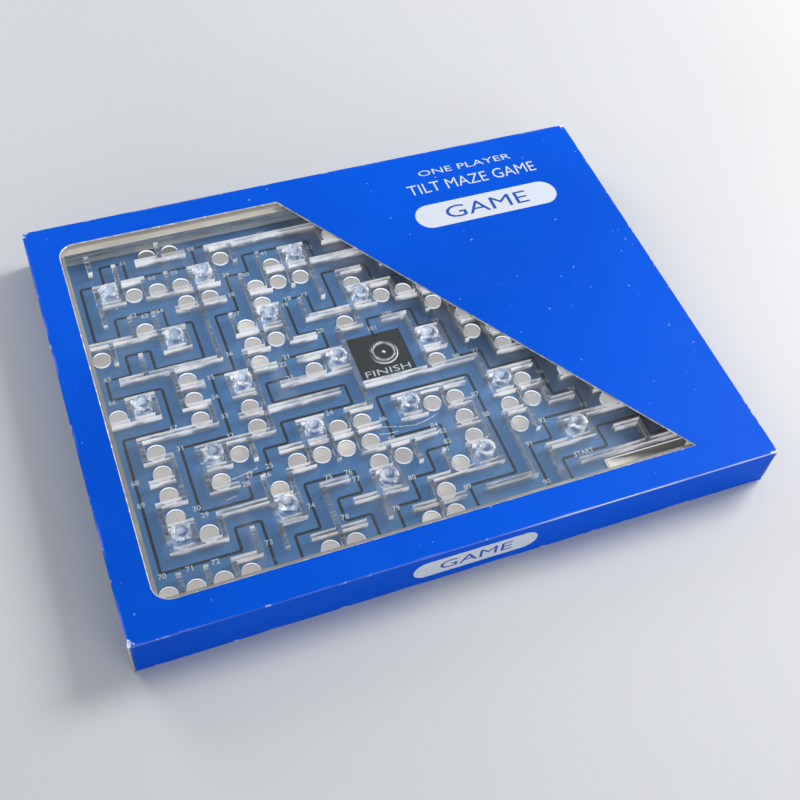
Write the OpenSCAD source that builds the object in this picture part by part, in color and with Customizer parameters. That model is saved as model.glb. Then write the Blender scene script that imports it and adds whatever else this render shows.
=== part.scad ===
// Tilt maze game: a clear maze with a steel ball, boxed in a card carton with a window.
// Millimetres. +X to the right, +Y to the back, +Z up; origin in the middle of the underside.

/* [Carton] */
// Width of the carton
carton_w = 256; // [254:1:262]
// Depth of the carton
carton_d = 198; // [197:1:204]
// Height of the carton
carton_h = 20; // [20:0.5:24]
// Thickness of the card
card = 0.6; // [0.4:0.1:0.7]
// Reach of each tuck tongue into the carton
tongue_reach = 9; // [5:0.5:9]
// Length of each dust flap
dust_flap_len = 56; // [30:1:80]

/* [Window] */
// Left edge of the window from the carton's left side
window_left = 12.4; // [11:0.1:20]
// Back edge of the window from the carton's back
window_back = 11.7; // [8:0.1:20]
// Front edge of the window from the carton's front
window_front = 12.9; // [10:0.1:20]
// Length of the window's back edge
window_back_len = 96.5; // [60:0.1:120]
// Length of the window's front edge
window_front_len = 213.8; // [150:0.1:225]
// Radius of the window's two left corners
window_r = 7; // [2:0.5:12]

/* [Maze] */
// Size of one cell of the maze
cell = 10; // [9.8:0.1:10]
// Thickness of the walls between cells
rib_t = 2; // [1.2:0.1:2.2]
// Height of the walls above the clear floor
rib_h = 3.8; // [3:0.1:4.8]
// Thickness of the wall around the playing field
rim_t = 2.5; // [1.5:0.1:2.6]
// Distance of that wall's inner face inside the outermost grid line
rim_inset = 1.4; // [1:0.1:1.4]
// Diameter of the drop holes
hole_d = 7.2; // [6:0.1:7.6]
// Outer diameter of the tubular posts
post_d = 7.6; // [5:0.1:7.8]
// Bore of the tubular posts
post_bore = 3.8; // [2:0.1:4.4]
// Diameter of the steel ball
ball_d = 4.76; // [4.2:0.02:4.8]

/* [Layers] */
// Thickness of the backing tray's floor and walls
tray_t = 1.2; // [1:0.1:1.2]
// Thickness of the printed sheet
sheet_t = 0.3; // [0.2:0.05:0.4]
// Height of the clear floor's underside above the table
floor_z = 10; // [9.5:0.1:10]
// Thickness of the clear floor
floor_t = 1; // [0.8:0.1:1.2]
// Free height between the clear floor and the lid
play_h = 6.5; // [6.4:0.1:6.6]
// Thickness of the clear lid
lid_t = 1.7; // [1:0.1:1.7]
// Slope of the ramp that brings the ball back up to the start
ramp_angle = 11.2; // [11:0.1:14]

/* [Hidden] */
$fn = 64;

// Walls of the maze, one character for each cell, back row first:
// "|" has a wall on its right, "_" has a wall in front of it, and "J" has both.
WALLS = [
    "|..J_._____.________._.",
    ".J_..J|.._|J._.J._.JJ_.",
    "|J|JJJ.|JJ__JJ|_|J.J|J.",
    "|...J_|J||._|___J_._|_.",
    "_JJ_|.|_.||__.._.JJ_.J.",
    "|.|J||JJ|_JJ|JJJ|||J___",
    ".J__J.J|_.J._||.._|_._.",
    "._|_.J_._J..|_|J|_.J|_.",
    "JJ|_|J._JJ..|J||JJ|_|J.",
    ".__J.J___|__J__|____J_.",
    "|_.__J._.J.___|__.J_.__",
    ".J|J|.JJJ_|J|_|J_.JJ||.",
    ".J|_..J||___.J.J|_|___.",
    "|_._JJ._.J|..J||.__J|_.",
    "|JJ.|J|.JJ.JJJ|.JJ._|J.",
    "...J|.J_|.J_._J|.__J___",
    "|||...|...|....|.......",
];

// What stands in each cell: "o" is a drop hole, "+" a post and "G" the goal.
CELLS = [
    "...oo..................",
    "......o....o...o...ooo.",
    ".+ooo+..o+...+.o.+.oo+.",
    "....oo.ooo...o...o...o.",
    "..o....o...o.....ooo.o.",
    "o..+..o+...+ooo+.oo+...",
    "......oo..o...o....o...",
    "...o..o........o.o.o.o.",
    "o+.o.+..o+.G.+.oo+.o.+.",
    "...o.o.......o..o....o.",
    ".o...o............oo...",
    ".o.+o..+oo.+oo.+o.o+.oo",
    ".o.o..oooo...o.oo..o...",
    ".o...o...oo..o.o...ooo.",
    ".+o..+...+..o+...+...+.",
    "...........o...........",
    "oooo..oo..oo...........",
];

// Names of the colours
CARD_BLUE = "royalblue";
CREAM = "wheat";
CLEAR = "lightcyan";
CLEAR_ALPHA = 0.35;

// Maze grid: columns run from left to right, rows from back to front
cols = len(WALLS[0]);
rows = len(WALLS);
field_w = cols * cell;
field_d = rows * cell;

// Gaps between pieces
snug = 0.05;
slack = 0.2;

// Heights of the layers above the table
tray_bottom = card;
tray_top = floor_z - sheet_t;
play_z = floor_z + floor_t;
lid_z = play_z + play_h;
panel_z = carton_h - card;
// Board and lid, inside the carton
board_w = carton_w - 4;
board_d = carton_d - 3.4;
// Inner size of the playing field, between its rims
inner_w = field_w - 2 * rim_inset;
inner_d = field_d - 2 * rim_inset;
// Tray under the board
tray_w = field_w + 4;
tray_d = field_d + 4;

// End flaps hang from the carton's top edges, with the tongues turned in at their lower edges
tongue_gap = 1;
tongue_z = card + tongue_gap;
end_flap_top = panel_z - snug;
tongue_corner = 8;
// Dust flaps stand just inside the end flaps
dust_gap = 0.1;
dust_z = tongue_z + card + 0.7;
dust_taper = 5;
wall_len = carton_w - 2 * (card + dust_gap);
glue_flap_h = 13;
glue_flap_inset = 6;

// Return lane: the right-hand end of the front row, where the ball comes up a ramp
lane_col = 18;
lane_x = lane_col * cell - field_w / 2;
lane_w = cell - 2 * rim_inset;
lane_y = (1 - rows) * cell / 2;
ramp_x = lane_x + slack;
ramp_low_z = tray_bottom + tray_t;
ramp_rise = play_z - snug - ramp_low_z;
ramp_len = ramp_rise / tan(ramp_angle);
ramp_side_gap = 0.3;
guide_len = ramp_len - 8;
guide_t = 1.2;
// Place of the ball on the ramp, measured up the slope from the ramp's foot
ball_up_slope = 6;
ball_play = 0.08;

// Goal: a raised ring with a small pip in its middle
ring_d = 12.2;
ring_bore = 8.7;
ring_top_d = 9.8;
ring_h = 1.3;
pip_d = 1.6;
pip_h = 0.4;

// Middle of a cell, and the lines between cells
function cell_x(i) = (i + 0.5) * cell - field_w / 2;
function cell_y(j) = field_d / 2 - (j + 0.5) * cell;
function line_x(i) = i * cell - field_w / 2;
function line_y(j) = field_d / 2 - j * cell;

// Walls of a cell, and how far each one runs on
function in_field(i, j) = i >= 0 && i < cols && j >= 0 && j < rows;
function wall_front(i, j) = in_field(i, j) && (WALLS[j][i] == "_" || WALLS[j][i] == "J");
function wall_right(i, j) = in_field(i, j) && (WALLS[j][i] == "|" || WALLS[j][i] == "J");
function run_right(i, j) = wall_front(i, j) ? 1 + run_right(i + 1, j) : 0;
// A wall that runs to the front is cut where a cross wall or the rim meets its end
function meets_cross(i, j) = j < 0 || j >= rows - 1 || wall_front(i, j) || wall_front(i + 1, j);
function goes_on(i, j) = !meets_cross(i, j) && wall_right(i, j + 1);
function run_front(i, j) = goes_on(i, j) ? 1 + run_front(i, j + 1) : 1;

module box(x0, x1, y0, y1, z0, z1) {
    translate([x0, y0, z0]) cube([x1 - x0, y1 - y0, z1 - z0]);
}

module slab(w, d, z0, t) {
    translate([-w / 2, -d / 2, z0]) cube([w, d, t]);
}

module at_cells(kind) {
    for (j = [0 : rows - 1], i = [0 : cols - 1]) {
        if (CELLS[j][i] == kind) translate([cell_x(i), cell_y(j), 0]) children();
    }
}

// ---- Carton ----

module window_outline() {
    left = window_left - carton_w / 2;
    back = carton_d / 2 - window_back;
    front = window_front - carton_d / 2;
    polygon([
        [left + window_r, back],
        [left + window_back_len, back],
        [left + window_front_len, front],
        [left + window_r, front],
        [left, front + window_r],
        [left, back - window_r],
    ]);
    translate([left + window_r, back - window_r]) circle(r = window_r);
    translate([left + window_r, front + window_r]) circle(r = window_r);
}

module top_panel() {
    color(CARD_BLUE) translate([0, 0, panel_z]) linear_extrude(card) difference() {
        square([carton_w, carton_d], center = true);
        window_outline();
    }
}

module bottom_panel() {
    color(CARD_BLUE) slab(carton_w, carton_d, 0, card);
}

module side_wall(inner_y) {
    translate([-wall_len / 2, inner_y, card]) cube([wall_len, card, panel_z - card]);
}

module front_wall() {
    color(CARD_BLUE) side_wall(-carton_d / 2);
}

module back_wall() {
    color(CARD_BLUE) side_wall(carton_d / 2 - card);
}

module glue_flap() {
    half = wall_len / 2 - glue_flap_inset;
    y1 = carton_d / 2 - card;
    color(CREAM) box(-half, half, y1 - card, y1, panel_z - glue_flap_h, panel_z);
}

// Both end closures are drawn for the right-hand end, and turned round for the left
module end_flap() {
    x1 = carton_w / 2;
    color(CARD_BLUE) box(x1 - card, x1, -carton_d / 2, carton_d / 2, tongue_z, end_flap_top);
}

module tuck_tongue() {
    x0 = carton_w / 2 - card - snug;
    half = carton_d / 2 - 1.5;
    tip = x0 - tongue_reach;
    mid = x0 - tongue_reach / 2;
    color(CARD_BLUE) translate([0, 0, tongue_z]) linear_extrude(card) polygon([
        [x0, -half], [x0, half], [mid, half - tongue_corner / 4], [tip, half - tongue_corner],
        [tip, tongue_corner - half], [mid, tongue_corner / 4 - half],
    ]);
}

module dust_flap() {
    x1 = carton_w / 2 - card - dust_gap;
    y0 = card - carton_d / 2;
    y1 = y0 + dust_flap_len;
    top = panel_z - 0.5;
    color(CARD_BLUE) translate([x1, 0, 0]) rotate([90, 0, -90]) linear_extrude(card) polygon([
        [-y0, dust_z], [-y0, top], [dust_taper - y1, top], [-y1, top - dust_taper],
        [-y1, dust_z + dust_taper], [dust_taper - y1, dust_z],
    ]);
}

module right_end_flap() end_flap();
module left_end_flap() rotate([0, 0, 180]) end_flap();
module right_tuck_tongue() tuck_tongue();
module left_tuck_tongue() rotate([0, 0, 180]) tuck_tongue();
module dust_flap_front_right() dust_flap();
module dust_flap_front_left() mirror([1, 0, 0]) dust_flap();
module dust_flap_back_right() mirror([0, 1, 0]) dust_flap();
module dust_flap_back_left() rotate([0, 0, 180]) dust_flap();

// ---- Maze unit ----

module drop_holes(z0, t) {
    at_cells("o") translate([0, 0, z0 - 1]) cylinder(d = hole_d, h = t + 2);
}

module lane_slot(z0, t) {
    box(lane_x, inner_w / 2, lane_y - lane_w / 2, lane_y + lane_w / 2, z0 - 1, z0 + t + 1);
}

module clear_lid() {
    color(CLEAR, CLEAR_ALPHA) slab(board_w, board_d, lid_z, lid_t);
}

module maze_floor() {
    color(CLEAR, CLEAR_ALPHA) difference() {
        slab(board_w, board_d, floor_z, floor_t);
        drop_holes(floor_z, floor_t);
        lane_slot(floor_z, floor_t);
    }
}

// One straight wall to the right of line i, in front of row j
module wall_across(i, j) {
    n = run_right(i, j);
    x0 = i == 0 ? -inner_w / 2 : line_x(i) - rib_t / 2;
    x1 = i + n == cols ? inner_w / 2 : line_x(i + n) + rib_t / 2;
    y = line_y(j + 1);
    box(x0, x1, y - rib_t / 2, y + rib_t / 2, play_z, play_z + rib_h);
}

// One straight wall on the right of column i, from row j to the front
module wall_along(i, j) {
    n = run_front(i, j);
    back = meets_cross(i, j - 1) ? -rib_t / 2 - snug : rib_t / 2;
    front = meets_cross(i, j + n - 1) ? rib_t / 2 + snug : -rib_t / 2;
    y0 = j + n == rows ? snug - inner_d / 2 : line_y(j + n) + front;
    y1 = j == 0 ? inner_d / 2 - snug : line_y(j) + back;
    x = line_x(i + 1);
    box(x - rib_t / 2, x + rib_t / 2, y0, y1, play_z, play_z + rib_h);
}

module maze_walls() {
    color(CLEAR, CLEAR_ALPHA) for (j = [0 : rows - 1], i = [0 : cols - 1]) {
        if (wall_front(i, j) && !wall_front(i - 1, j)) wall_across(i, j);
        if (wall_right(i, j) && !(wall_right(i, j - 1) && !meets_cross(i, j - 1))) wall_along(i, j);
    }
}

module field_rim() {
    color(CLEAR, CLEAR_ALPHA) difference() {
        slab(inner_w + 2 * rim_t, inner_d + 2 * rim_t, play_z, play_h);
        slab(inner_w, inner_d, play_z - 1, play_h + 2);
    }
}

module tubular_posts() {
    color(CLEAR, CLEAR_ALPHA) at_cells("+") translate([0, 0, play_z]) difference() {
        cylinder(d = post_d, h = play_h);
        translate([0, 0, -1]) cylinder(d = post_bore, h = play_h + 2);
    }
}

module goal_ring() {
    color(CLEAR, CLEAR_ALPHA) at_cells("G") translate([0, 0, play_z]) {
        rotate_extrude() polygon([
            [ring_bore / 2, 0], [ring_d / 2, 0], [ring_top_d / 2, ring_h], [ring_bore / 2, ring_h],
        ]);
        cylinder(d = pip_d, h = pip_h);
    }
}

module printed_sheet() {
    color("steelblue") difference() {
        slab(tray_w - 1, tray_d - 1, tray_top, sheet_t);
        drop_holes(tray_top, sheet_t);
        lane_slot(tray_top, sheet_t);
    }
}

module backing_tray() {
    color(CREAM) difference() {
        slab(tray_w, tray_d, tray_bottom, tray_top - tray_bottom);
        slab(tray_w - 2 * tray_t, tray_d - 2 * tray_t, tray_bottom + tray_t, tray_top);
    }
}

module return_ramp() {
    w = lane_w - 2 * ramp_side_gap;
    color(CREAM) translate([ramp_x, lane_y + w / 2, ramp_low_z]) rotate([90, 0, 0])
        linear_extrude(w) polygon([[0, 0], [ramp_len, 0], [0, ramp_rise]]);
}

module ramp_guide() {
    y0 = lane_y + lane_w / 2 - ramp_side_gap + slack;
    color(CREAM) box(ramp_x, ramp_x + guide_len, y0, y0 + guide_t, ramp_low_z, tray_top);
}

module steel_ball() {
    foot = [ramp_x + ramp_len, lane_y, ramp_low_z];
    up_slope = [-cos(ramp_angle), 0, sin(ramp_angle)];
    off_slope = [sin(ramp_angle), 0, cos(ramp_angle)];
    color("silver") translate(foot + ball_up_slope * up_slope + (ball_d / 2 + ball_play) * off_slope)
        sphere(d = ball_d);
}

top_panel();
front_wall();
back_wall();
bottom_panel();
glue_flap();
left_end_flap();
right_end_flap();
left_tuck_tongue();
right_tuck_tongue();
dust_flap_front_left();
dust_flap_front_right();
dust_flap_back_left();
dust_flap_back_right();
clear_lid();
maze_floor();
maze_walls();
field_rim();
tubular_posts();
goal_ring();
printed_sheet();
backing_tray();
return_ramp();
ramp_guide();
steel_ball();
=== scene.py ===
import math

import bmesh
import bpy
from mathutils import Matrix, Vector


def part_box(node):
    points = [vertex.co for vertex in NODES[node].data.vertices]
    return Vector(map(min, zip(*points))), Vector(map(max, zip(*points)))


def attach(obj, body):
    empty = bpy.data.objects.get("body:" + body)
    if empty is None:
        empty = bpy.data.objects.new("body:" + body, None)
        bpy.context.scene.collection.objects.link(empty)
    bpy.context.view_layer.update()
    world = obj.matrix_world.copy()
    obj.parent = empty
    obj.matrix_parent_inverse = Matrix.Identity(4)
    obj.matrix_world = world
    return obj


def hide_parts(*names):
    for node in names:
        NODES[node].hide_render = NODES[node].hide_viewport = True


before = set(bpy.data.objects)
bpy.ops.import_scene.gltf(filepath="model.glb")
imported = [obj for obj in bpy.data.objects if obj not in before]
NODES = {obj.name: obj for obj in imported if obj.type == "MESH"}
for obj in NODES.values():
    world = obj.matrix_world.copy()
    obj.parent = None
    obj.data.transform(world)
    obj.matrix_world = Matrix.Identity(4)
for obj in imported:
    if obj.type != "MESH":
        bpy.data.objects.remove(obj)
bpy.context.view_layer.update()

MM = 0.001
ROOT = "boxed_maze"

# ------------------------------------------------------------------ sizes
# Heights in millimetres
HAIR = 0.06                             # clear mouldings overlap by this, so no faces coincide
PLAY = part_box("maze_floor")[1].z / MM   # top of the clear floor
RIB_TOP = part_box("maze_walls")[1].z / MM
BASE = PLAY - HAIR
SHEET_TOP = 10.0
LID_BOTTOM = 17.5

# Bottom and top of each thin print layer, in millimetres
LINE_LAYER = (10.005, 10.02)
NUMBER_LAYER = (10.03, 10.042)
CARD_LAYER = (20.006, 20.02)
WORD_LAYER = (20.026, 20.04)
SCRATCH_LAYER = (19.205, 19.215)

# The carton in metres, for the shaders
HALF_X, HALF_Y, TALL = 0.128, 0.099, 0.020
SKIN = 0.0001                           # a face this close to the outside is printed
CARD_ROUND = 0.18                       # mm, the small round on card edges

# ------------------------------------------------------------------ colours, linear
BLUE = (0.0008, 0.080, 0.60)
BLUE_DEEP = (0.0007, 0.066, 0.51)
BLUE_PALE = (0.01, 0.14, 0.66)
RAW = (0.50, 0.47, 0.42)
RAW_DARK = (0.36, 0.335, 0.295)
WORN = (0.62, 0.66, 0.74)
SHEET = (0.068, 0.205, 0.430)
SHEET_DEEP = (0.055, 0.175, 0.375)
BLACK_INK = (0.003, 0.007, 0.014)
WHITE_INK = (0.72, 0.74, 0.76)
CREAM = (0.62, 0.575, 0.50)
CREAM_DARK = (0.52, 0.475, 0.40)
# painted highlight colour of the clear ribs, posts and goal ring
PAINTED_HIGHLIGHT = (0.90, 0.87, 0.86)
WHITE = (1.0, 1.0, 1.0)

# ------------------------------------------------------------------ maze layout
# One letter a cell: | has a wall on its right, _ on its front, J on both, . on neither
WALLS = [
    "|..J_._____.________._.",
    ".J_..J|.._|J._.J._.JJ_.",
    "|J|JJJ.|JJ__JJ|_|J.J|J.",
    "|...J_|J||._|___J_._|_.",
    "_JJ_|.|_.||__.._.JJ_.J.",
    "|.|J||JJ|_JJ|JJJ|||J___",
    ".J__J.J|_.J._||.._|_._.",
    "._|_.J_._J..|_|J|_.J|_.",
    "JJ|_|J._JJ..|J||JJ|_|J.",
    ".__J.J___|__J__|____J_.",
    "|_.__J._.J.___|__.J_.__",
    ".J|J|.JJJ_|J|_|J_.JJ||.",
    ".J|_..J||___.J.J|_|___.",
    "|_._JJ._.J|..J||.__J|_.",
    "|JJ.|J|.JJ.JJJ|.JJ._|J.",
    "...J|.J_|.J_._J|.__J___",
    "|||...|...|....|.......",
]
# o is a drop hole, + a post, G the goal
CELLS = [
    "...oo..................",
    "......o....o...o...ooo.",
    ".+ooo+..o+...+.o.+.oo+.",
    "....oo.ooo...o...o...o.",
    "..o....o...o.....ooo.o.",
    "o..+..o+...+ooo+.oo+...",
    "......oo..o...o....o...",
    "...o..o........o.o.o.o.",
    "o+.o.+..o+.G.+.oo+.o.+.",
    "...o.o.......o..o....o.",
    ".o...o............oo...",
    ".o.+o..+oo.+oo.+o.o+.oo",
    ".o.o..oooo...o.oo..o...",
    ".o...o...oo..o.o...ooo.",
    ".+o..+...+..o+...+...+.",
    "...........o...........",
    "oooo..oo..oo...........",
]
COLS, ROWS = 23, 17
LINE_X0, LINE_Y0, CELL = -115.0, 85.0, 10.0   # back-left corner of the grid and its pitch


def cell_mm(col, row):
    return LINE_X0 + CELL * col, LINE_Y0 - CELL * row


# ------------------------------------------------------------------ shader helpers
class Mat:
    """A small builder for node materials. Positions and normals are the object's own, in metres."""

    def __init__(self, name):
        self.m = bpy.data.materials.new(name)
        self.m.use_nodes = True
        self.t = self.m.node_tree
        self.t.nodes.clear()
        self.out = self.t.nodes.new("ShaderNodeOutputMaterial")
        coord = self.t.nodes.new("ShaderNodeTexCoord")
        self.co = coord.outputs["Object"]
        self.x, self.y, self.z = self.split(self.co)
        self.nx, self.ny, self.nz = self.split(coord.outputs["Normal"])

    def new(self, kind, **ins):
        n = self.t.nodes.new("ShaderNode" + kind)
        for k, v in ins.items():
            self.put(n.inputs[k.replace("_", " ")], v)
        return n

    def put(self, sock, v):
        if isinstance(v, bpy.types.NodeSocket):
            self.t.links.new(v, sock)
        elif isinstance(v, tuple) and len(v) == 3 and sock.type == "RGBA":
            sock.default_value = (*v, 1.0)
        else:
            sock.default_value = v

    def put_all(self, node, values):
        for i, v in enumerate(values):
            self.put(node.inputs[i], v)
        return node.outputs[0]

    def split(self, v):
        return tuple(self.new("SeparateXYZ", Vector=v).outputs)

    def op(self, kind, *args):
        n = self.t.nodes.new("ShaderNodeMath")
        n.operation = kind
        return self.put_all(n, args)

    def chain(self, kind, first, *rest):
        for v in rest:
            first = self.op(kind, first, v)
        return first

    def add(self, a, b):
        return self.op("ADD", a, b)

    def sub(self, a, b):
        return self.op("SUBTRACT", a, b)

    def mul(self, *args):
        return self.chain("MULTIPLY", *args)

    def most(self, *args):
        return self.chain("MAXIMUM", *args)

    def least(self, *args):
        return self.chain("MINIMUM", *args)

    def neg(self, a):
        return self.mul(a, -1.0)

    def over(self, a, b):
        return self.op("GREATER_THAN", a, b)

    def abs(self, a):
        return self.op("ABSOLUTE", a)

    def length(self, a, b):
        return self.op("SQRT", self.add(self.mul(a, a), self.mul(b, b)))

    def ramp(self, v, lo, hi, to_lo=0.0, to_hi=1.0):
        n = self.t.nodes.new("ShaderNodeMapRange")
        n.interpolation_type = "SMOOTHSTEP"
        return self.put_all(n, (v, lo, hi, to_lo, to_hi))

    def noise(self, scale, detail=2.0, stretch=(1, 1, 1), rough=0.5, seed=0.0):
        v = self.co
        if stretch != (1, 1, 1) or seed:
            place = (seed, seed * 0.7, seed * 0.3)
            v = self.new("Mapping", Vector=v, Location=place, Scale=stretch).outputs[0]
        n = self.new("TexNoise", Vector=v, Scale=scale, Detail=detail, Roughness=rough)
        return n.outputs[0]

    def mix(self, f, a, b):
        n = self.t.nodes.new("ShaderNodeMix")
        n.data_type = "RGBA"
        for i, v in ((0, f), (6, a), (7, b)):
            self.put(n.inputs[i], v)
        return n.outputs[2]

    def bump(self, height, distance, strength=1.0):
        return self.new("Bump", Height=height, Distance=distance, Strength=strength).outputs[0]

    def blend(self, f, a, b):
        return self.put_all(self.t.nodes.new("ShaderNodeMixShader"), (f, a, b))

    def principled(self, **ins):
        return self.new("BsdfPrincipled", **ins).outputs[0]

    def done(self, shader):
        self.put(self.out.inputs["Surface"], shader)
        return self.m


# ------------------------------------------------------------------ card
def card(name, printed, fold=None, rubbed=False):
    """Printed card. printed(m) masks the coated blue side, fold(m) is the distance to a crease.

    rubbed adds what the top panel shows: worn corners, a pale front crease and a few specks.
    """
    m = Mat(name)
    broad = m.noise(7, 3)
    fibre = m.noise(260, 5, stretch=(1, 5, 5))
    fine = m.noise(1500, 4)
    mottle = m.noise(60, 3, seed=0.4)
    blue = m.mix(m.ramp(broad, 0.35, 0.65), BLUE_DEEP, BLUE)
    blue = m.mix(m.ramp(mottle, 0.45, 0.9, 0, 0.10), blue, BLUE_PALE)
    raw = m.mix(m.ramp(fibre, 0.35, 0.7), RAW_DARK, RAW)
    mask = printed(m)
    colour = m.mix(mask, raw, blue)
    worn = []
    if fold:
        near = fold(m)
        nick = m.ramp(m.noise(240, 3, seed=1.3), 0.60, 0.68)
        soft = m.ramp(m.noise(45, 2, seed=2.1), 0.50, 0.70, 0, 0.20)
        worn += [m.mul(m.ramp(near, 0.0007, 0.0001), nick, 0.55),
                 m.mul(m.ramp(near, 0.0011, 0.0002), soft)]
    if rubbed:
        corner = m.length(m.sub(HALF_X, m.abs(m.x)), m.sub(HALF_Y, m.abs(m.y)))
        ragged = m.ramp(m.noise(500, 3, seed=3.7), 0.3, 0.7, -0.0016, 0.0016)
        patches = m.ramp(m.noise(28, 4, seed=8.0), 0.30, 0.50)
        along = m.ramp(m.x, 0.005, 0.045, 0.15, 1.0)
        crease = m.mul(m.ramp(m.y, -0.09855, -0.0988), along, patches)
        worn += [m.ramp(m.add(corner, ragged), 0.0024, 0.0014), m.mul(crease, 0.75)]
    if worn:
        colour = m.mix(m.most(*worn), colour, WORN)
    if rubbed:
        speck = m.ramp(m.noise(420, 2, seed=9.0), 0.745, 0.785, 0, 0.35)
        colour = m.mix(m.mul(speck, mask), colour, WORN)
    scuff = m.ramp(m.noise(18, 4, stretch=(1, 2.5, 1), seed=5.0), 0.4, 0.75)
    rough = m.add(m.ramp(scuff, 0, 1, 0.40, 0.50), m.ramp(mask, 0, 1, 0.35, 0.0))
    height = m.add(m.mul(fine, 0.12), m.noise(14, 2, seed=7.7))
    return m.done(m.principled(Base_Color=colour, Roughness=rough, Specular_IOR_Level=0.03,
                               Normal=m.bump(height, 0.0006, 0.25)))


def top_printed(m):
    return m.most(m.over(m.nz, 0.5), m.over(m.abs(m.y), HALF_Y - SKIN),
                  m.over(m.abs(m.x), HALF_X - SKIN))


def top_fold(m):
    return m.least(m.sub(HALF_X, m.abs(m.x)), m.sub(HALF_Y, m.abs(m.y)))


def front_printed(m):
    return m.over(m.neg(m.ny), 0.4)


def back_printed(m):
    return m.over(m.ny, 0.4)


def long_fold(m):
    return m.least(m.sub(TALL, m.z), m.z, m.sub(0.1275, m.abs(m.x)))


def bottom_printed(m):
    return m.most(m.over(m.neg(m.nz), 0.5), m.over(m.abs(m.y), HALF_Y - SKIN))


def end_printed(side):
    return lambda m: m.most(m.over(m.mul(m.nx, side), 0.4), m.over(m.z, 0.0192))


def end_fold(m):
    return m.least(m.sub(0.0196, m.z), m.sub(HALF_Y, m.abs(m.y)), m.sub(m.z, 0.0014))


def under_printed(m):
    return m.over(m.neg(m.nz), 0.4)


def never_printed(m):
    return m.over(m.z, 9.0)


def round_edges(o, width):
    """Rounds an object's sharp edges, by so many millimetres."""
    b = o.modifiers.new("round", "BEVEL")
    b.width, b.segments = width * MM, 2
    b.limit_method, b.angle_limit = "ANGLE", math.radians(40)


def use(node, material, bevel=0.0):
    """Gives a CAD node a finish, and a small round on its edges."""
    o = NODES[node]
    if not o.material_slots:
        o.data.materials.append(material)
    for s in o.material_slots:
        s.material = material
    if bevel:
        o.modifiers.new("weld", "WELD").merge_threshold = 1e-6
        round_edges(o, bevel)


for material, nodes in (
    (card("card_top", top_printed, top_fold, rubbed=True), ("top_panel",)),
    (card("card_front", front_printed, long_fold), ("front_wall",)),
    (card("card_back", back_printed, long_fold), ("back_wall",)),
    (card("card_bottom", bottom_printed, top_fold), ("bottom_panel",)),
    (card("card_left", end_printed(-1.0), end_fold), ("left_end_flap",)),
    (card("card_right", end_printed(1.0), end_fold), ("right_end_flap",)),
    (card("card_tongue", under_printed), ("left_tuck_tongue", "right_tuck_tongue")),
    (card("card_inside", never_printed), ("glue_flap",)),
    (card("card_dust_left", end_printed(-1.0)), ("dust_flap_front_left", "dust_flap_back_left")),
    (card("card_dust_right", end_printed(1.0)), ("dust_flap_front_right", "dust_flap_back_right")),
):
    for node in nodes:
        use(node, material, CARD_ROUND)


# ------------------------------------------------------------------ finishes of the maze unit
def sheet_finish():
    m = Mat("printed_sheet")
    broad = m.ramp(m.noise(16, 3), 0.3, 0.7)
    grain = m.ramp(m.noise(900, 3), 0.3, 0.7)
    colour = m.mix(broad, SHEET_DEEP, SHEET)
    colour = m.mix(m.ramp(grain, 0, 1, 0, 0.12), colour, (0.13, 0.26, 0.46))
    return m.done(m.principled(Base_Color=colour, Roughness=m.ramp(grain, 0, 1, 0.42, 0.55),
                               Specular_IOR_Level=0.3, Normal=m.bump(grain, 0.00003, 0.3)))


def ink(name, colour, second):
    m = Mat(name)
    speck = m.ramp(m.noise(2600, 3), 0.35, 0.7)
    return m.done(m.principled(Base_Color=m.mix(speck, second, colour),
                               Roughness=m.ramp(speck, 0, 1, 0.5, 0.38), Specular_IOR_Level=0.3))


def cream(name, glow=0.0):
    """Moulded cream plastic. The glow of faces that look up is painted light, standing for light
    through it.
    """
    m = Mat(name)
    cloud = m.ramp(m.noise(22, 3), 0.3, 0.7)
    grain = m.noise(700, 4)
    stain = m.ramp(m.noise(120, 4, seed=2.0), 0.55, 0.8, 0, 0.25)
    colour = m.mix(stain, m.mix(cloud, CREAM_DARK, CREAM), (0.40, 0.36, 0.30))
    ins = dict(Base_Color=colour, Roughness=m.ramp(grain, 0.3, 0.7, 0.38, 0.50),
               Normal=m.bump(grain, 0.00008, 0.3))
    if glow:
        ins["Emission_Color"] = m.mix(cloud, (0.36, 0.325, 0.295), (0.46, 0.42, 0.385))
        # painted light: faces that look up glow
        ins["Emission_Strength"] = m.mul(m.ramp(m.nz, 0.6, 0.9), glow)
    return m.done(m.principled(**ins))


def clear_base(m, tint, rough, **normal):
    """See-through plastic: tinted clear, with a gloss that grows towards a grazing view."""
    gloss = m.new("Fresnel", IOR=1.49, **normal).outputs[0]
    shine = m.new("BsdfGlossy", Color=WHITE, Roughness=rough, **normal).outputs[0]
    through = m.new("BsdfTransparent", Color=tint).outputs[0]
    outside = m.sub(1.0, m.new("NewGeometry").outputs["Backfacing"])
    return m.blend(m.mul(gloss, outside), through, shine)


def frosted(m, colour=PAINTED_HIGHLIGHT, rough=0.35, glow=0.28):
    """Pale plastic, for real marks and for painted highlights. The glow is painted light that
    stands for light coming through the moulding from behind.
    """
    return m.principled(Base_Color=colour, Roughness=rough, Specular_IOR_Level=0.6,
                        Emission_Color=(1.0, 0.95, 0.94), Emission_Strength=glow)


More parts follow.
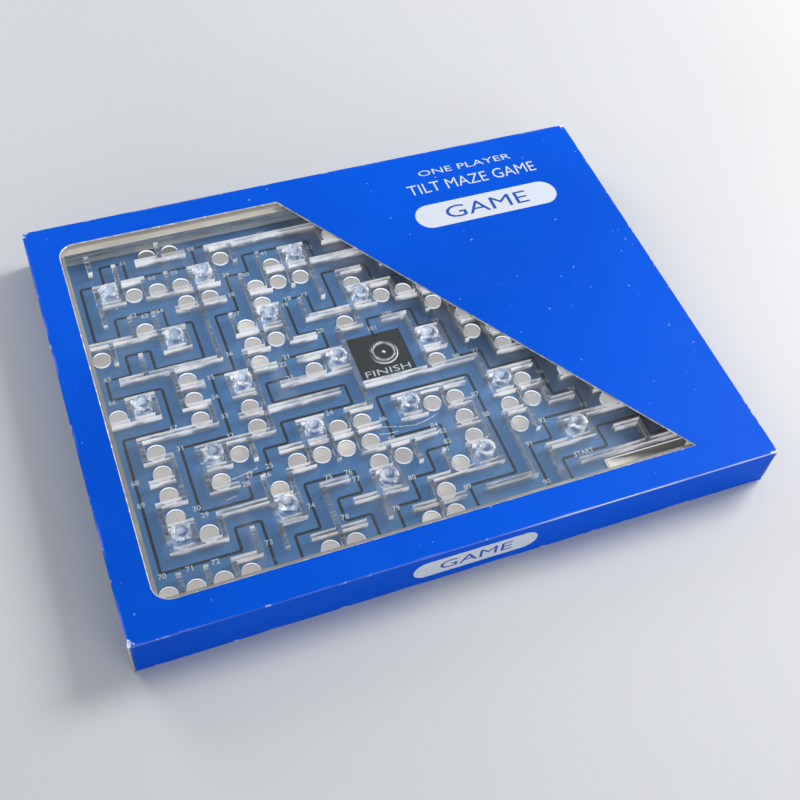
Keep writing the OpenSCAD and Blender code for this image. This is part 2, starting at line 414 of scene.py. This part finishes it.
def rib_finish():
    """Front faces and edges catch the light as painted highlights of pale glowing plastic; tops are
    nearly clear with fine lines. Side and back faces get painted shade.
    """
    m = Mat("clear_ribs")
    streak = m.ramp(m.noise(330, 4, stretch=(0.22, 1, 4.0)), 0.36, 0.62)
    patch = m.ramp(m.noise(75, 3, stretch=(1, 1, 2), seed=1.0), 0.38, 0.60)
    line = m.ramp(m.noise(520, 3, stretch=(0.08, 1.8, 1), seed=2.0), 0.54, 0.62)
    front = m.ramp(m.neg(m.ny), 0.6, 0.85)
    back = m.ramp(m.ny, 0.6, 0.85)
    side = m.ramp(m.abs(m.nx), 0.6, 0.85)
    top = m.ramp(m.nz, 0.85, 0.97)
    edge = m.mul(m.ramp(m.nz, 0.12, 0.3), m.ramp(m.nz, 0.93, 0.80))
    front_edge = m.mul(edge, m.ramp(m.neg(m.ny), 0.2, 0.5))
    # painted highlight: front faces grow paler towards the top
    rise = m.ramp(m.add(m.z, m.mul(patch, 0.0012)), 0.0122, 0.0142, 0.20, 1.0)
    # painted highlights, strongest on front faces and front edges, fainter lines on backs, sides
    # and tops
    mask = m.most(
        m.mul(front, rise, m.add(m.mul(streak, 0.16), m.add(0.44, m.mul(patch, 0.44)))),
        m.mul(back, m.mul(streak, 0.12)),
        m.mul(side, m.add(0.02, m.mul(streak, 0.10))),
        m.mul(top, m.add(0.015, m.mul(line, 0.10))),
        m.mul(front_edge, m.add(0.5, m.mul(patch, 0.5))),
        m.mul(edge, m.add(0.06, m.mul(patch, 0.34))))
    # painted shade: side and back faces get a darker see-through tint, which also darkens the
    # shadows the ribs cast
    tint = m.mix(m.most(side, back), (0.96, 0.975, 0.985), (0.74, 0.81, 0.87))
    return m.done(m.blend(mask, clear_base(m, tint, 0.10), frosted(m, glow=0.36)))


def rim_finish():
    """The clear outer wall, warmer and paler along the back."""
    m = Mat("clear_rim")
    streak = m.ramp(m.noise(260, 4, stretch=(0.2, 0.2, 3.0)), 0.35, 0.65)
    top = m.ramp(m.nz, 0.8, 0.95)
    face = m.sub(1.0, m.ramp(m.abs(m.nz), 0.3, 0.6))
    warm = m.ramp(m.y, 0.0825, 0.0835)
    cloud = m.ramp(m.noise(30, 3, seed=1.0), 0.35, 0.65)
    tone = m.mix(cloud, (0.21, 0.205, 0.19), (0.36, 0.345, 0.31))
    tone = m.mix(m.mul(warm, top), tone, (0.62, 0.58, 0.48))
    tone = m.mix(m.mul(warm, face), tone, (0.30, 0.37, 0.46))
    mask = m.most(m.mul(top, m.add(0.60, m.mul(streak, 0.25))),
                  m.mul(face, m.add(0.18, m.mul(streak, 0.40))))
    tint = m.mix(streak, (0.80, 0.84, 0.88), (0.92, 0.94, 0.95))
    return m.done(m.blend(mask, clear_base(m, tint, 0.10), frosted(m, tone, 0.4, 0.05)))


def floor_finish():
    """Clear floor. The walls of the drop holes get a painted highlight, pale and glowing, strongest
    on the far side.
    """
    m = Mat("clear_floor")
    wall = m.sub(1.0, m.ramp(m.abs(m.nz), 0.3, 0.6))
    far = m.ramp(m.neg(m.add(m.ny, m.mul(m.nx, 0.6))), -0.3, 0.9)
    smear = m.ramp(m.noise(60, 4, stretch=(1, 0.4, 1)), 0.55, 0.8)
    speck = m.ramp(m.noise(700, 3, seed=4.0), 0.70, 0.78)
    # painted highlight on the hole walls, plus faint smears and specks on the plastic
    mask = m.most(m.mul(wall, m.add(0.20, m.mul(far, 0.80))), m.mul(smear, 0.04),
                  m.mul(speck, 0.10))
    tint = m.mix(smear, (0.95, 0.965, 0.975), (0.90, 0.92, 0.94))
    pale = frosted(m, (0.95, 0.93, 0.91), glow=0.6)
    return m.done(m.blend(mask, clear_base(m, tint, 0.08), pale))


def lid_finish():
    m = Mat("clear_lid")
    smear = m.ramp(m.noise(24, 4, stretch=(1, 0.5, 1), rough=0.6), 0.45, 0.8)
    dust = m.ramp(m.noise(1100, 2, seed=6.0), 0.73, 0.80)
    mask = m.most(m.mul(smear, 0.025), m.mul(dust, 0.25))
    tint = m.mix(smear, (0.975, 0.98, 0.985), (0.94, 0.95, 0.96))
    clear = clear_base(m, tint, 0.035, Normal=m.bump(m.noise(22, 2, seed=3.0), 0.0004, 0.12))
    return m.done(m.blend(mask, clear, frosted(m, (0.8, 0.8, 0.8), 0.5, 0.0)))


def post_finish():
    """Clear moulding that bends the light: a pale ring on top and a few patches are painted
    highlights, and the dark bore is painted shade.
    """
    m = Mat("clear_posts")
    half_cell = CELL / 2 * MM               # a post stands in the middle of its cell
    reach = m.length(m.op("PINGPONG", m.x, half_cell), m.op("PINGPONG", m.y, half_cell))
    bore = m.ramp(reach, 0.0024, 0.0020)
    top = m.mul(m.ramp(m.nz, 0.80, 0.95), m.ramp(reach, 0.0022, 0.0026))
    edge = m.mul(m.ramp(m.nz, 0.15, 0.35), m.ramp(m.nz, 0.97, 0.85))
    front = m.ramp(m.neg(m.ny), 0.75, 0.98)
    patch = m.ramp(m.noise(260, 3, stretch=(1, 1, 0.6)), 0.48, 0.66)
    # painted shade: the glass is tinted darker in the bore
    tint = m.mix(bore, (0.74, 0.83, 0.92), (0.45, 0.58, 0.76))
    glass = m.principled(Base_Color=tint, Roughness=0.05, IOR=1.30, Transmission_Weight=1.0)
    # painted highlights on the top ring, the edges and the front
    mask = m.most(m.mul(edge, m.add(0.10, m.mul(patch, 0.50))), m.mul(front, patch, 0.35),
                  m.mul(top, m.add(0.16, m.mul(patch, 0.40))))
    return m.done(m.blend(mask, glass, frosted(m, glow=0.2)))


def ring_finish():
    """Low clear ring with painted highlights: pale at its bore and at the foot of its outer side.
    """
    m = Mat("clear_ring")
    reach = m.length(m.x, m.y)
    patch = m.ramp(m.noise(240, 3, seed=1.0), 0.35, 0.6)
    bore = m.mul(m.ramp(reach, 0.00470, 0.00440), m.ramp(reach, 0.0030, 0.0040))
    # painted highlight at the foot of the outer side, towards the front
    foot = m.mul(m.ramp(reach, 0.0056, 0.0059),
                 m.ramp(m.add(m.y, m.mul(m.x, -0.5)), 0.002, -0.005))
    # painted highlight on one side of the pip
    pip = m.mul(m.ramp(reach, 0.0009, 0.0006), m.ramp(m.add(m.x, m.y), -0.0002, 0.0004))
    mask = m.most(m.mul(bore, m.add(0.30, m.mul(patch, 0.45))), m.mul(foot, 0.75),
                  m.mul(pip, 0.9), m.mul(patch, 0.06))
    return m.done(m.blend(mask, clear_base(m, (0.93, 0.95, 0.96), 0.08), frosted(m, glow=0.2)))


def steel_finish():
    m = Mat("ball_steel")
    scuff = m.ramp(m.noise(500, 4, stretch=(1, 3, 1)), 0.55, 0.75)
    colour = m.mix(scuff, (0.62, 0.62, 0.63), (0.48, 0.48, 0.50))
    return m.done(m.principled(Base_Color=colour, Metallic=1.0,
                               Roughness=m.ramp(scuff, 0, 1, 0.08, 0.22),
                               Normal=m.bump(m.noise(3000, 3), 0.00001, 0.2)))


def edge_finish():
    m = Mat("window_cut_edge")
    fibre = m.noise(420, 4)
    nick = m.ramp(m.noise(300, 3, seed=2.2), 0.58, 0.66)
    colour = m.mix(m.ramp(fibre, 0.35, 0.65), (0.30, 0.33, 0.38), (0.56, 0.55, 0.52))
    colour = m.mix(nick, colour, (0.80, 0.80, 0.80))
    return m.done(m.principled(Base_Color=colour, Roughness=m.ramp(fibre, 0.3, 0.7, 0.7, 0.9),
                               Specular_IOR_Level=0.2, Normal=m.bump(fibre, 0.0001, 0.5)))


def scratch_finish():
    m = Mat("lid_scratch")
    depth = m.ramp(m.noise(900, 3), 0.3, 0.7)
    through = m.new("BsdfTransparent", Color=WHITE).outputs[0]
    return m.done(m.blend(m.ramp(depth, 0, 1, 0.25, 0.75), through,
                          frosted(m, (0.9, 0.9, 0.9), 0.5, 0.0)))


LINE_INK = ink("route_ink", BLACK_INK, (0.012, 0.020, 0.034))
NUMBER_INK = ink("number_ink", WHITE_INK, (0.50, 0.54, 0.60))
GOAL_INK = ink("goal_ink", (0.009, 0.014, 0.014), (0.005, 0.009, 0.010))
PRINT_WHITE = ink("card_white", (0.60, 0.63, 0.70), (0.50, 0.54, 0.62))
PRINT_BLUE = ink("card_blue_ink", (0.004, 0.07, 0.40), (0.003, 0.055, 0.33))
RAMP_CREAM = cream("ramp_cream")

use("printed_sheet", sheet_finish())
# painted light: the tray's faces that look up glow
use("backing_tray", cream("tray_cream_painted_glow", 1.0), 0.25)
use("return_ramp", RAMP_CREAM, 0.2)
use("ramp_guide", RAMP_CREAM, 0.2)


# ------------------------------------------------------------------ mesh helpers, in millimetres
def piece(name, bm, material, body=ROOT, replaces=(), smooth=False, bevel=0.0):
    bmesh.ops.recalc_face_normals(bm, faces=bm.faces)
    me = bpy.data.meshes.new(name)
    bm.transform(Matrix.Diagonal((MM, MM, MM, 1.0)))
    bm.to_mesh(me)
    bm.free()
    me.materials.append(material)
    o = bpy.data.objects.new(name, me)
    bpy.context.scene.collection.objects.link(o)
    if smooth:
        me.polygons.foreach_set("use_smooth", [True] * len(me.polygons))
    if bevel:
        round_edges(o, bevel)
    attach(o, body)
    if replaces:
        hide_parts(*replaces)
    return o


def clone(node, name, material, moves):
    """A copy of a CAD node's mesh with levels moved a hair, so that no clear faces coincide."""
    bm = bmesh.new()
    bm.from_mesh(NODES[node].data)
    bmesh.ops.remove_doubles(bm, verts=bm.verts, dist=1e-6)
    bmesh.ops.dissolve_limit(bm, angle_limit=0.002, verts=bm.verts, edges=bm.edges)
    bm.transform(Matrix.Diagonal((1 / MM, 1 / MM, 1 / MM, 1.0)))
    for v in bm.verts:
        for old, new in moves.items():
            if abs(v.co.z - old) < 0.01:
                v.co.z = new
                break
    bmesh.ops.triangulate(bm, faces=[f for f in bm.faces if len(f.verts) > 4])
    return piece(name, bm, material, replaces=(node,))


def arc(x, y, radius, start, end, steps):
    """Points on part of a circle, with its angles in degrees."""
    turns = (math.radians(start + (end - start) * k / steps) for k in range(steps + 1))
    return [(x + radius * math.cos(t), y + radius * math.sin(t)) for t in turns]


def prism(bm, outline, levels):
    """A closed slab over an outline of points, in order."""
    low, high = ([bm.verts.new((x, y, z)) for x, y in outline] for z in levels)
    bm.faces.new(list(reversed(low)))
    bm.faces.new(high)
    n = len(outline)
    for i in range(n):
        j = (i + 1) % n
        bm.faces.new((low[i], low[j], high[j], high[i]))


def skin(bm, rows):
    """Joins each row of points to the next one. A row is a closed loop."""
    for r, s in zip(rows, rows[1:]):
        for k in range(len(r)):
            q = (k + 1) % len(r)
            bm.faces.new((r[k], r[q], s[q], s[k]))


def fillet(points, radius, steps=4):
    """A line through the points with round corners."""
    out = [Vector(points[0])]
    for a, b, c in zip(points, points[1:], points[2:]):
        a, b, c = Vector(a), Vector(b), Vector(c)
        u, w = (a - b).normalized(), (c - b).normalized()
        if abs(u.dot(w)) > 0.999:
            continue
        centre = b + (u + w) * radius
        for k in range(steps + 1):
            t = math.pi / 2 * k / steps
            out.append(centre - w * radius * math.cos(t) - u * radius * math.sin(t))
    out.append(Vector(points[-1]))
    return out


def ribbon(bm, points, width, levels):
    """A closed flat strip along a line."""
    z0, z1 = levels
    pts = [Vector(p) for p in points]
    rows = []
    for i, p in enumerate(pts):
        before = (p - pts[i - 1]).normalized() if i else None
        after = (pts[i + 1] - p).normalized() if i + 1 < len(pts) else None
        way = ((before or after) + (after or before)).normalized()
        n = Vector((-way.y, way.x))
        last = after or before
        stretch = 1.0 / max(0.3, n.dot(Vector((-last.y, last.x))))
        a, b = p + n * width / 2 * stretch, p - n * width / 2 * stretch
        rows.append([bm.verts.new(v) for v in
                     ((a.x, a.y, z0), (b.x, b.y, z0), (b.x, b.y, z1), (a.x, a.y, z1))])
    skin(bm, rows)
    bm.faces.new(rows[0])
    bm.faces.new(list(reversed(rows[-1])))


def text_into(bm, words, x, y, levels, cap, width=None, bold=0.0):
    """Adds generic lettering as thin closed solids, centred at x, y, cap millimetres high."""
    curve = bpy.data.curves.new("lettering", "FONT")
    curve.body, curve.size, curve.resolution_u = words, 1.0, 3
    curve.extrude, curve.offset = 0.05, bold
    o = bpy.data.objects.new("lettering", curve)
    bpy.context.scene.collection.objects.link(o)
    graph = bpy.context.evaluated_depsgraph_get()
    me = bpy.data.meshes.new_from_object(o.evaluated_get(graph), depsgraph=graph)
    bpy.data.objects.remove(o)
    bpy.data.curves.remove(curve)
    part = bmesh.new()
    part.from_mesh(me)
    bpy.data.meshes.remove(me)
    bmesh.ops.remove_doubles(part, verts=part.verts, dist=1e-4)
    (x0, x1), (y0, y1), (z0, z1) = (
        (min(v.co[k] for v in part.verts), max(v.co[k] for v in part.verts)) for k in range(3))
    sy = cap / (y1 - y0)
    sx = width / (x1 - x0) if width else sy
    mx, my, mz = (x1 + x0) / 2, (y1 + y0) / 2, (z1 + z0) / 2
    made = {}
    for v in part.verts:
        z = levels[1] if v.co.z > mz else levels[0]
        made[v] = bm.verts.new((x + (v.co.x - mx) * sx, y + (v.co.y - my) * sy, z))
    for f in part.faces:
        bm.faces.new([made[v] for v in f.verts])
    part.free()


def lathe(bm, profile, x, y, segments=48):
    """Turns a closed loop of (radius, height) round an upright axis."""
    rings = []
    for k in range(segments):
        t = 2 * math.pi * k / segments
        rings.append([bm.verts.new((x + r * math.cos(t), y + r * math.sin(t), z))
                      for r, z in profile])
    n = len(profile)
    for k in range(segments):
        a, b = rings[k], rings[(k + 1) % segments]
        for i in range(n):
            j = (i + 1) % n
            bm.faces.new((a[i], b[i], b[j], a[j]))


def frame_strip(x_in, y_in, x_out, y_out, z0, z1):
    """A closed flat frame, by its half sizes inside and outside."""
    bm = bmesh.new()
    loops = []
    for hx, hy, z in ((x_in, y_in, z0), (x_in, y_in, z1), (x_out, y_out, z1), (x_out, y_out, z0)):
        loops.append([bm.verts.new((a * hx, b * hy, z))
                      for a, b in ((-1, -1), (1, -1), (1, 1), (-1, 1))])
    skin(bm, loops + loops[:1])
    return bm


# ------------------------------------------------------------------ clear mouldings
clone("maze_floor", "clear_floor_panel", floor_finish(), {SHEET_TOP: SHEET_TOP + HAIR})
lid = clone("clear_lid", "clear_cover", lid_finish(), {LID_BOTTOM: LID_BOTTOM + HAIR})
lid.visible_shadow = False
clone("field_rim", "clear_outer_wall", rim_finish(), {PLAY: BASE})
# painted light: the flange's faces that look up glow, more weakly
piece("lid_seat_flange", frame_strip(116.2, 86.2, 121.0, 91.5, 16.5, 17.42),
      cream("flange_cream_painted_glow", 0.35), bevel=0.2)


def right_wall(i, j):
    return 0 <= i < COLS - 1 and 0 <= j < ROWS and WALLS[j][i] in "|J"


def front_wall(i, j):
    return 0 <= i < COLS and 0 <= j < ROWS - 1 and WALLS[j][i] in "_J"


def rib_mesh():
    """All the ribs as one fused grid of blocks: walls between cells, and where walls meet."""
    half, gap = 1.0, 0.05                   # half a rib's width, and the gap to the outer wall
    field_x, field_y = 113.6, 83.6          # half the field inside the outer wall
    xs, ys = [-field_x + gap], [field_y - gap]
    for i in range(1, COLS):
        xs += [LINE_X0 + CELL * i - half, LINE_X0 + CELL * i + half]
    for j in range(1, ROWS):
        ys += [LINE_Y0 - CELL * j + half, LINE_Y0 - CELL * j - half]
    xs.append(field_x - gap)
    ys.append(-field_y + gap)
    solid = set()
    for j in range(ROWS):
        for i in range(COLS):
            if right_wall(i, j):
                solid |= {(2 * i + 1, 2 * j + k) for k in (-1, 0, 1)}
            if front_wall(i, j):
                solid |= {(2 * i + k, 2 * j + 1) for k in (-1, 0, 1)}
    solid = {(a, b) for a, b in solid if 0 <= a < len(xs) - 1 and 0 <= b < len(ys) - 1}
    bm = bmesh.new()
    verts = {}

    def vert(a, b, top):
        if (a, b, top) not in verts:
            verts[a, b, top] = bm.verts.new((xs[a], ys[b], RIB_TOP if top else BASE))
        return verts[a, b, top]

    for a, b in sorted(solid):
        corners = ((a, b), (a, b + 1), (a + 1, b + 1), (a + 1, b))
        bm.faces.new([vert(p, q, True) for p, q in corners])
        bm.faces.new([vert(p, q, False) for p, q in reversed(corners)])
        for k, (da, db) in enumerate(((-1, 0), (0, 1), (1, 0), (0, -1))):
            if (a + da, b + db) not in solid:
                c0, c1 = corners[k], corners[(k + 1) % 4]
                bm.faces.new((vert(*c0, False), vert(*c1, False), vert(*c1, True),
                              vert(*c0, True)))
    return bm


piece("clear_ribs", rib_mesh(), rib_finish(), replaces=("maze_walls",), bevel=0.32)

POST = ((1.9, BASE), (3.8, BASE), (3.8, 16.9), (3.72, 17.25), (3.45, 17.47), (2.35, 17.47),
        (2.05, 17.25), (1.9, 16.9))
bm = bmesh.new()
for row, line in enumerate(CELLS):
    for col, mark in enumerate(line):
        if mark == "+":
            lathe(bm, POST, *cell_mm(col + 0.5, row + 0.5))
posts = piece("clear_posts", bm, post_finish(), replaces=("tubular_posts",), smooth=True)
posts.visible_shadow = False

# The goal ring and the pip in its middle, as radius and height over the floor
RING = ((4.35, -HAIR), (6.1, -HAIR), (6.0, 0.25), (4.98, 1.22), (4.75, 1.3), (4.5, 1.3),
        (4.35, 1.15))
PIP = ((0.02, -HAIR), (0.8, -HAIR), (0.76, 0.2), (0.5, 0.37), (0.02, 0.4))
bm = bmesh.new()
for profile, segments in ((RING, 96), (PIP, 32)):
    lathe(bm, [(r, PLAY + h) for r, h in profile], 0, 0, segments)
ring = piece("clear_goal_ring", bm, ring_finish(), replaces=("goal_ring",), smooth=True)
ring.visible_shadow = False

# ------------------------------------------------------------------ print on the sheet
PRINT_X, PRINT_Y = 0.44, 0.53           # where the line runs in a cell, in cells
ROUTE = [
    (16, 16), (16, 15), (18, 15), (18, 14), (20, 14), (20, 15), (22, 15), (22, 12), (20, 12),
    (20, 10), (22, 10), (22, 6), (20, 6), (20, 9), (18, 9), (18, 6), (16, 6), (16, 4), (12, 4),
    (12, 3), (10, 3), (10, 5), (9, 5), (9, 4), (8, 4), (8, 6), (9, 6), (9, 7), (7, 7), (7, 8),
    (6, 8), (6, 9), (9, 9), (9, 10), (6, 10), (6, 11), (5, 11), (5, 12), (4, 12), (4, 13),
    (2, 13), (2, 10), (4, 10), (4, 7), (5, 7), (5, 4), (6, 4), (6, 2), (7, 2), (7, 1), (10, 1),
    (10, 2), (12, 2), (12, 1), (14, 1), (14, 3), (16, 3), (16, 1), (18, 1), (18, 3), (20, 3),
    (20, 5), (22, 5), (22, 0), (5, 0), (5, 1), (2, 1), (2, 0), (1, 0), (1, 1), (0, 1), (0, 4),
    (1, 4), (1, 3), (3, 3), (3, 4), (4, 4), (4, 6), (2, 6), (2, 5), (1, 5), (1, 6), (0, 6),
    (0, 7), (2, 7), (2, 9), (0, 9), (0, 15), (3, 15), (3, 14), (4, 14), (4, 16), (5, 16), (5, 15),
    (6, 15), (6, 13), (8, 13), (8, 14), (7, 14), (7, 15), (8, 15), (8, 16), (9, 16), (9, 15),
    (10, 15), (10, 14), (11, 14), (11, 13), (12, 13), (12, 12), (10, 12), (10, 10), (14, 10),
    (14, 15), (12, 15), (12, 16), (15, 16), (15, 14), (16, 14), (16, 13), (18, 13), (18, 12),
    (17, 12), (17, 10), (15, 10), (15, 9), (14, 9), (14, 7), (13, 7), (13, 6), (11, 6), (11, 7),
]
bm = bmesh.new()
line = [cell_mm(c + PRINT_X, r + PRINT_Y) for c, r in ROUTE]
line[0] = (line[0][0], line[0][1] - 4.0)
ribbon(bm, fillet(line, 0.9), 1.15, LINE_LAYER)
piece("route_line", bm, LINE_INK)

# The numbers, at the cell position of each one's centre
NUMBERS = {
    16: (12.49, 4.47), 17: (9.38, 4.47), 18: (8.63, 4.48), 19: (8.41, 4.78), 20: (9.39, 6.56),
    21: (7.61, 7.47), 22: (7.37, 7.8), 23: (7.44, 8.54), 24: (8.41, 10.67), 25: (5.43, 12.32),
    26: (5.23, 12.68), 27: (4.6, 12.48), 28: (4.37, 12.83), 29: (2.55, 13.66), 30: (2.34, 13.29),
    31: (2.41, 10.52), 32: (4.4, 10.53), 33: (4.44, 9.56), 34: (4.33, 8.56), 35: (4.42, 7.57),
    36: (5.45, 6.63), 37: (6.32, 4.67), 38: (6.4, 3.57), 39: (6.48, 2.43), 40: (7.29, 2.65),
    41: (8.37, 1.68), 58: (5.43, 0.53), 59: (4.41, 1.68), 60: (3.43, 1.7), 61: (2.43, 0.53),
    62: (2.21, 3.51), 63: (2.66, 3.67), 64: (3.32, 3.58), 65: (0.5, 6.47), 66: (0.44, 7.64),
    67: (2.42, 9.52), 68: (0.43, 11.54), 69: (0.43, 12.55), 70: (0.46, 15.64), 71: (1.45, 15.64),
    72: (2.41, 15.66), 73: (4.45, 15.5), 74: (6.4, 14.5), 75: (7.42, 13.51), 76: (8.22, 13.52),
    77: (8.41, 13.91), 78: (7.45, 15.35), 79: (9.4, 15.6), 80: (10.47, 14.5), 81: (12.19, 13.68),
    82: (12.41, 13.35), 83: (12.4, 12.84), 84: (12.19, 12.48), 85: (10.36, 12.58),
    86: (10.34, 11.58), 87: (14.36, 11.57), 88: (14.38, 12.62), 89: (12.36, 15.55),
    90: (15.4, 16.3), 91: (15.46, 14.46), 92: (16.45, 13.6), 93: (18.4, 13.4), 94: (18.3, 12.52),
    95: (17.4, 11.83), 96: (17.38, 11.3), 97: (15.24, 9.47), 98: (14.36, 9.5), 99: (14.24, 7.47),
    100: (12.41, 6.49), 101: (11.51, 7.08),
}
# The numbers under the uncut part of the card
HIDDEN = {
    1: (20.4, 14.5), 2: (21.9, 15.5), 3: (22.4, 13.6), 4: (20.9, 12.5), 5: (20.4, 11.1),
    6: (22.4, 9.6), 7: (22.4, 7.6), 8: (21.2, 6.5), 9: (20.4, 8.2), 10: (18.9, 9.5),
    11: (18.4, 7.6), 12: (17.2, 6.5), 13: (16.4, 5.2), 14: (15.3, 4.5), 15: (13.8, 4.5),
    42: (10.4, 1.9), 43: (12.0, 2.5), 44: (13.3, 1.5), 45: (14.4, 2.7), 46: (16.0, 3.5),
    47: (16.4, 1.8), 48: (18.4, 1.9), 49: (19.5, 3.5), 50: (20.4, 4.8), 51: (22.4, 4.4),
    52: (22.4, 1.6), 53: (20.4, 0.5), 54: (17.6, 0.5), 55: (14.8, 0.5), 56: (11.8, 0.5),
    57: (8.6, 0.5),
}
bm = bmesh.new()
for number, (c, r) in sorted({**NUMBERS, **HIDDEN}.items()):
    text_into(bm, str(number), *cell_mm(c, r), NUMBER_LAYER, 2.3, bold=0.012)
text_into(bm, "START", *cell_mm(17.4, 15.5), NUMBER_LAYER, 2.2, width=8.6, bold=0.02)
text_into(bm, "FINISH", *cell_mm(11.4, 9.36), NUMBER_LAYER, 3.1, width=19.5)
piece("route_numbers", bm, NUMBER_INK)

bm = bmesh.new()
gx0, gy1 = cell_mm(10.23, 7.38)
gx1, gy0 = cell_mm(12.58, 9.60)
prism(bm, [(gx0, gy0), (gx1, gy0), (gx1, gy1), (gx0, gy1)], LINE_LAYER)
piece("goal_square", bm, GOAL_INK)

# ------------------------------------------------------------------ steel ball
bm = bmesh.new()
ball_low, ball_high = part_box("steel_ball")
bmesh.ops.create_icosphere(bm, subdivisions=5, radius=(ball_high.z - ball_low.z) / 2 / MM)
bmesh.ops.translate(bm, verts=bm.verts, vec=(ball_low + ball_high) / 2 / MM)
piece("steel_ball_polished", bm, steel_finish(), body="ball", replaces=("steel_ball",),
      smooth=True)


# ------------------------------------------------------------------ window edge, print on the card
WINDOW_LEFT, WINDOW_BACK, WINDOW_FRONT, WINDOW_ROUND = -115.6, 87.3, -86.1, 7.0
CUT_BACK, CUT_FRONT = Vector((-19.1, 87.3)), Vector((98.2, -86.1))


def window_outline(inset):
    """The cut window's outline, moved in by inset."""
    back, front, radius = WINDOW_BACK - inset, WINDOW_FRONT + inset, WINDOW_ROUND - inset
    way = (CUT_FRONT - CUT_BACK).normalized()
    start = CUT_BACK + Vector((way.y, -way.x)) * inset

    def on_cut(y):
        return start.x + way.x * (y - start.y) / way.y, y

    x = WINDOW_LEFT + WINDOW_ROUND
    return [on_cut(back), *arc(x, WINDOW_BACK - WINDOW_ROUND, radius, 90, 180, 8),
            *arc(x, WINDOW_FRONT + WINDOW_ROUND, radius, 180, 270, 8), on_cut(front)]


bm = bmesh.new()
rows = []
for (ox, oy), (ix, iy) in zip(window_outline(0.01), window_outline(0.33)):
    rows.append([bm.verts.new(v) for v in
                 ((ox, oy, 19.97), (ix, iy, 19.62), (ix, iy, 19.44), (ox, oy, 19.44))])
skin(bm, rows + rows[:1])
piece("window_cut_edge", bm, edge_finish())


def pill(x, y, width, height):
    r = height / 2
    reach = width / 2 - r
    return arc(x + reach, y, r, -90, 90, 14) + arc(x - reach, y, r, 90, 270, 14)


TITLE_X, PILL_Y = 71, 59.4
bm = bmesh.new()
text_into(bm, "ONE PLAYER", TITLE_X, 86, CARD_LAYER, 3.5, width=46, bold=-0.002)
text_into(bm, "TILT MAZE GAME", TITLE_X, 76.8, CARD_LAYER, 6.2, width=63, bold=-0.004)
prism(bm, pill(TITLE_X, PILL_Y, 68.6, 14.0), CARD_LAYER)
piece("top_print", bm, PRINT_WHITE)
bm = bmesh.new()
text_into(bm, "GAME", TITLE_X, PILL_Y, WORD_LAYER, 7.4, width=40)
piece("top_print_word", bm, PRINT_BLUE)

# The same mark on the front wall, drawn flat and then stood up
STAND_UP = Matrix.Translation((0.3, -99.0, 10.2)) @ Matrix.Rotation(math.pi / 2, 4, "X")
bm = bmesh.new()
prism(bm, pill(0, 0, 50.0, 10.6), (0.006, 0.02))
bm.transform(STAND_UP)
piece("front_print", bm, PRINT_WHITE)
bm = bmesh.new()
text_into(bm, "GAME", 0, 0, (0.026, 0.04), 5.6, width=29)
bm.transform(STAND_UP)
piece("front_print_word", bm, PRINT_BLUE)

# ------------------------------------------------------------------ scratches on the lid
bm = bmesh.new()
for width, pts in (
    (0.22, [(-80.4, -46.0), (-73.6, -44.9), (-66.5, -43.5)]),
    (0.15, [(-81.9, -53.6), (-77.3, -52.7)]),
    (0.20, [(-16.2, -40.1), (-13.4, -41.0), (-10.5, -41.6)]),
    (0.20, [(-18.2, -43.2), (-14.3, -43.9), (-10.3, -44.0)]),
    (0.22, [(-9.7, -42.0), (-3.4, -43.2), (2.0, -42.4), (7.4, -40.7)]),
):
    ribbon(bm, pts, width, SCRATCH_LAYER)
piece("lid_scratches", bm, scratch_finish())

# ------------------------------------------------------------------ studio
bpy.ops.mesh.primitive_plane_add(size=8, location=(0, 0, 0))
ground = bpy.context.object
ground.name = "studio_floor"
m = Mat("studio_floor")
cloud = m.ramp(m.noise(3, 2), 0.3, 0.7)
ground.data.materials.append(m.done(m.principled(
    Base_Color=m.mix(cloud, (0.50, 0.51, 0.52), (0.53, 0.54, 0.55)),
    Roughness=m.ramp(cloud, 0, 1, 0.55, 0.6))))

scene = bpy.context.scene
scene.view_settings.view_transform = "Standard"
scene.world = bpy.data.worlds.new("studio")
scene.world.use_nodes = True
sky = scene.world.node_tree.nodes["Background"]
sky.inputs["Color"].default_value = (0.86, 0.90, 0.95, 1.0)
sky.inputs["Strength"].default_value = 0.54


def area(name, place, target, size, power, colour):
    data = bpy.data.lights.new(name, "AREA")
    data.shape, data.size, data.energy, data.color = "SQUARE", size, power, colour
    o = bpy.data.objects.new(name, data)
    scene.collection.objects.link(o)
    o.location = place
    o.rotation_euler = (Vector(target) - Vector(place)).to_track_quat("-Z", "Y").to_euler()


area("key", (0.95, 0.22, 0.80), (0, 0, 0), 0.50, 16.0, (1.0, 0.98, 0.95))
area("back_fill", (-0.55, 1.0, 0.45), (0, 0, 0), 0.5, 6.0, (0.95, 0.97, 1.0))
area("front_fill", (0.45, -1.15, 0.30), (0.03, -0.09, 0.01), 0.6, 5.5, (0.97, 0.99, 1.0))

# ------------------------------------------------------------------ camera
camera_data = bpy.data.cameras.new("camera")
camera_data.sensor_width, camera_data.lens = 36.0, 51.72
camera_data.clip_start, camera_data.clip_end = 0.01, 50.0
camera = bpy.data.objects.new("camera", camera_data)
scene.collection.objects.link(camera)
place = Vector((-0.12419, -0.26856, 0.38403))
right = Vector((0.93302646, -0.35175876, 0.07567957))
down = Vector((-0.24412081, -0.77339026, -0.58504063))
view = Vector((0.26432301, 0.52738343, -0.80746521))
rotation = Matrix((right, -down, -view)).transposed()
camera.matrix_world = Matrix.Translation(place) @ rotation.to_4x4()
scene.camera = camera
